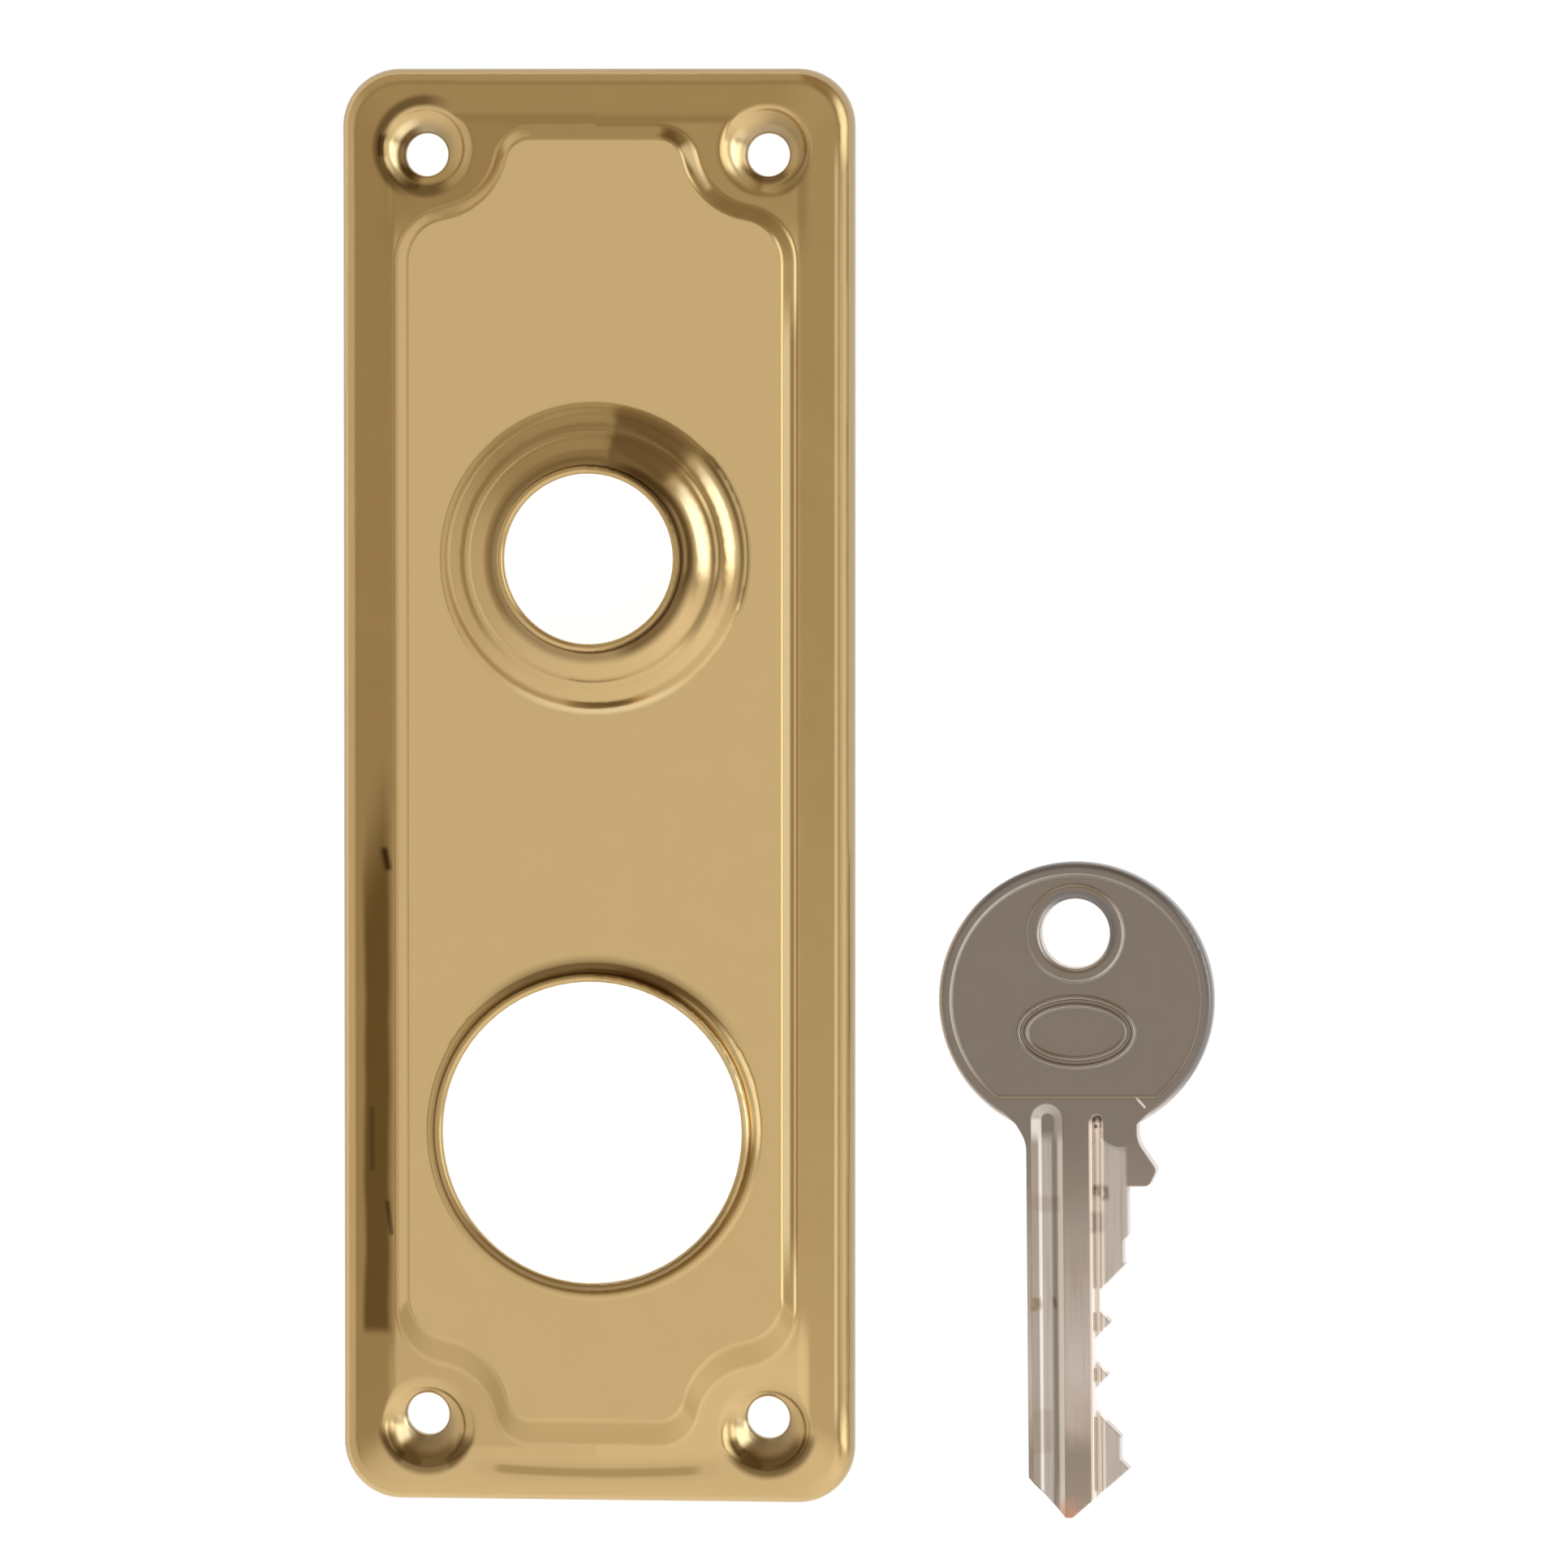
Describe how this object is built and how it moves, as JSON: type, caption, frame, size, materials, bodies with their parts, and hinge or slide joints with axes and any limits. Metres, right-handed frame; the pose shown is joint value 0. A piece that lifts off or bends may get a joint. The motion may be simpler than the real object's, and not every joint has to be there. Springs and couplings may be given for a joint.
{
  "type": "rim door lock escutcheon plate with key",
  "caption": "Pressed brass escutcheon plate of a rim door lock, with a stepped knob collar, a round cylinder opening and dished screw seats, and its flat cylinder key.",
  "frame": {"origin": "centre of the four screw holes, in the plane of the door face that the plate's rim rests on", "axes": "+Y runs up the plate, from the cylinder opening to the knob collar; +Z points out of the door, through the plate's front; +X runs across the plate, to the side where the key lies"},
  "size_m": [0.0765, 0.1259, 0.0074],
  "materials": {
    "polished_brass": "polished, with slight handling haze and darker brown in the recesses",
    "nickel": "worn nickel, fine scratches, brown stain in the grooves"
  },
  "bodies": {
    "plate": {"escutcheon_plate": "polished_brass"},
    "key": {"key": "nickel"}
  },
  "joints": [
    {"name": "key_lift", "type": "slide", "parent": "plate", "child": "key", "axis": [0, 0, 1], "range_m": [0, 0.05]}
  ]
}
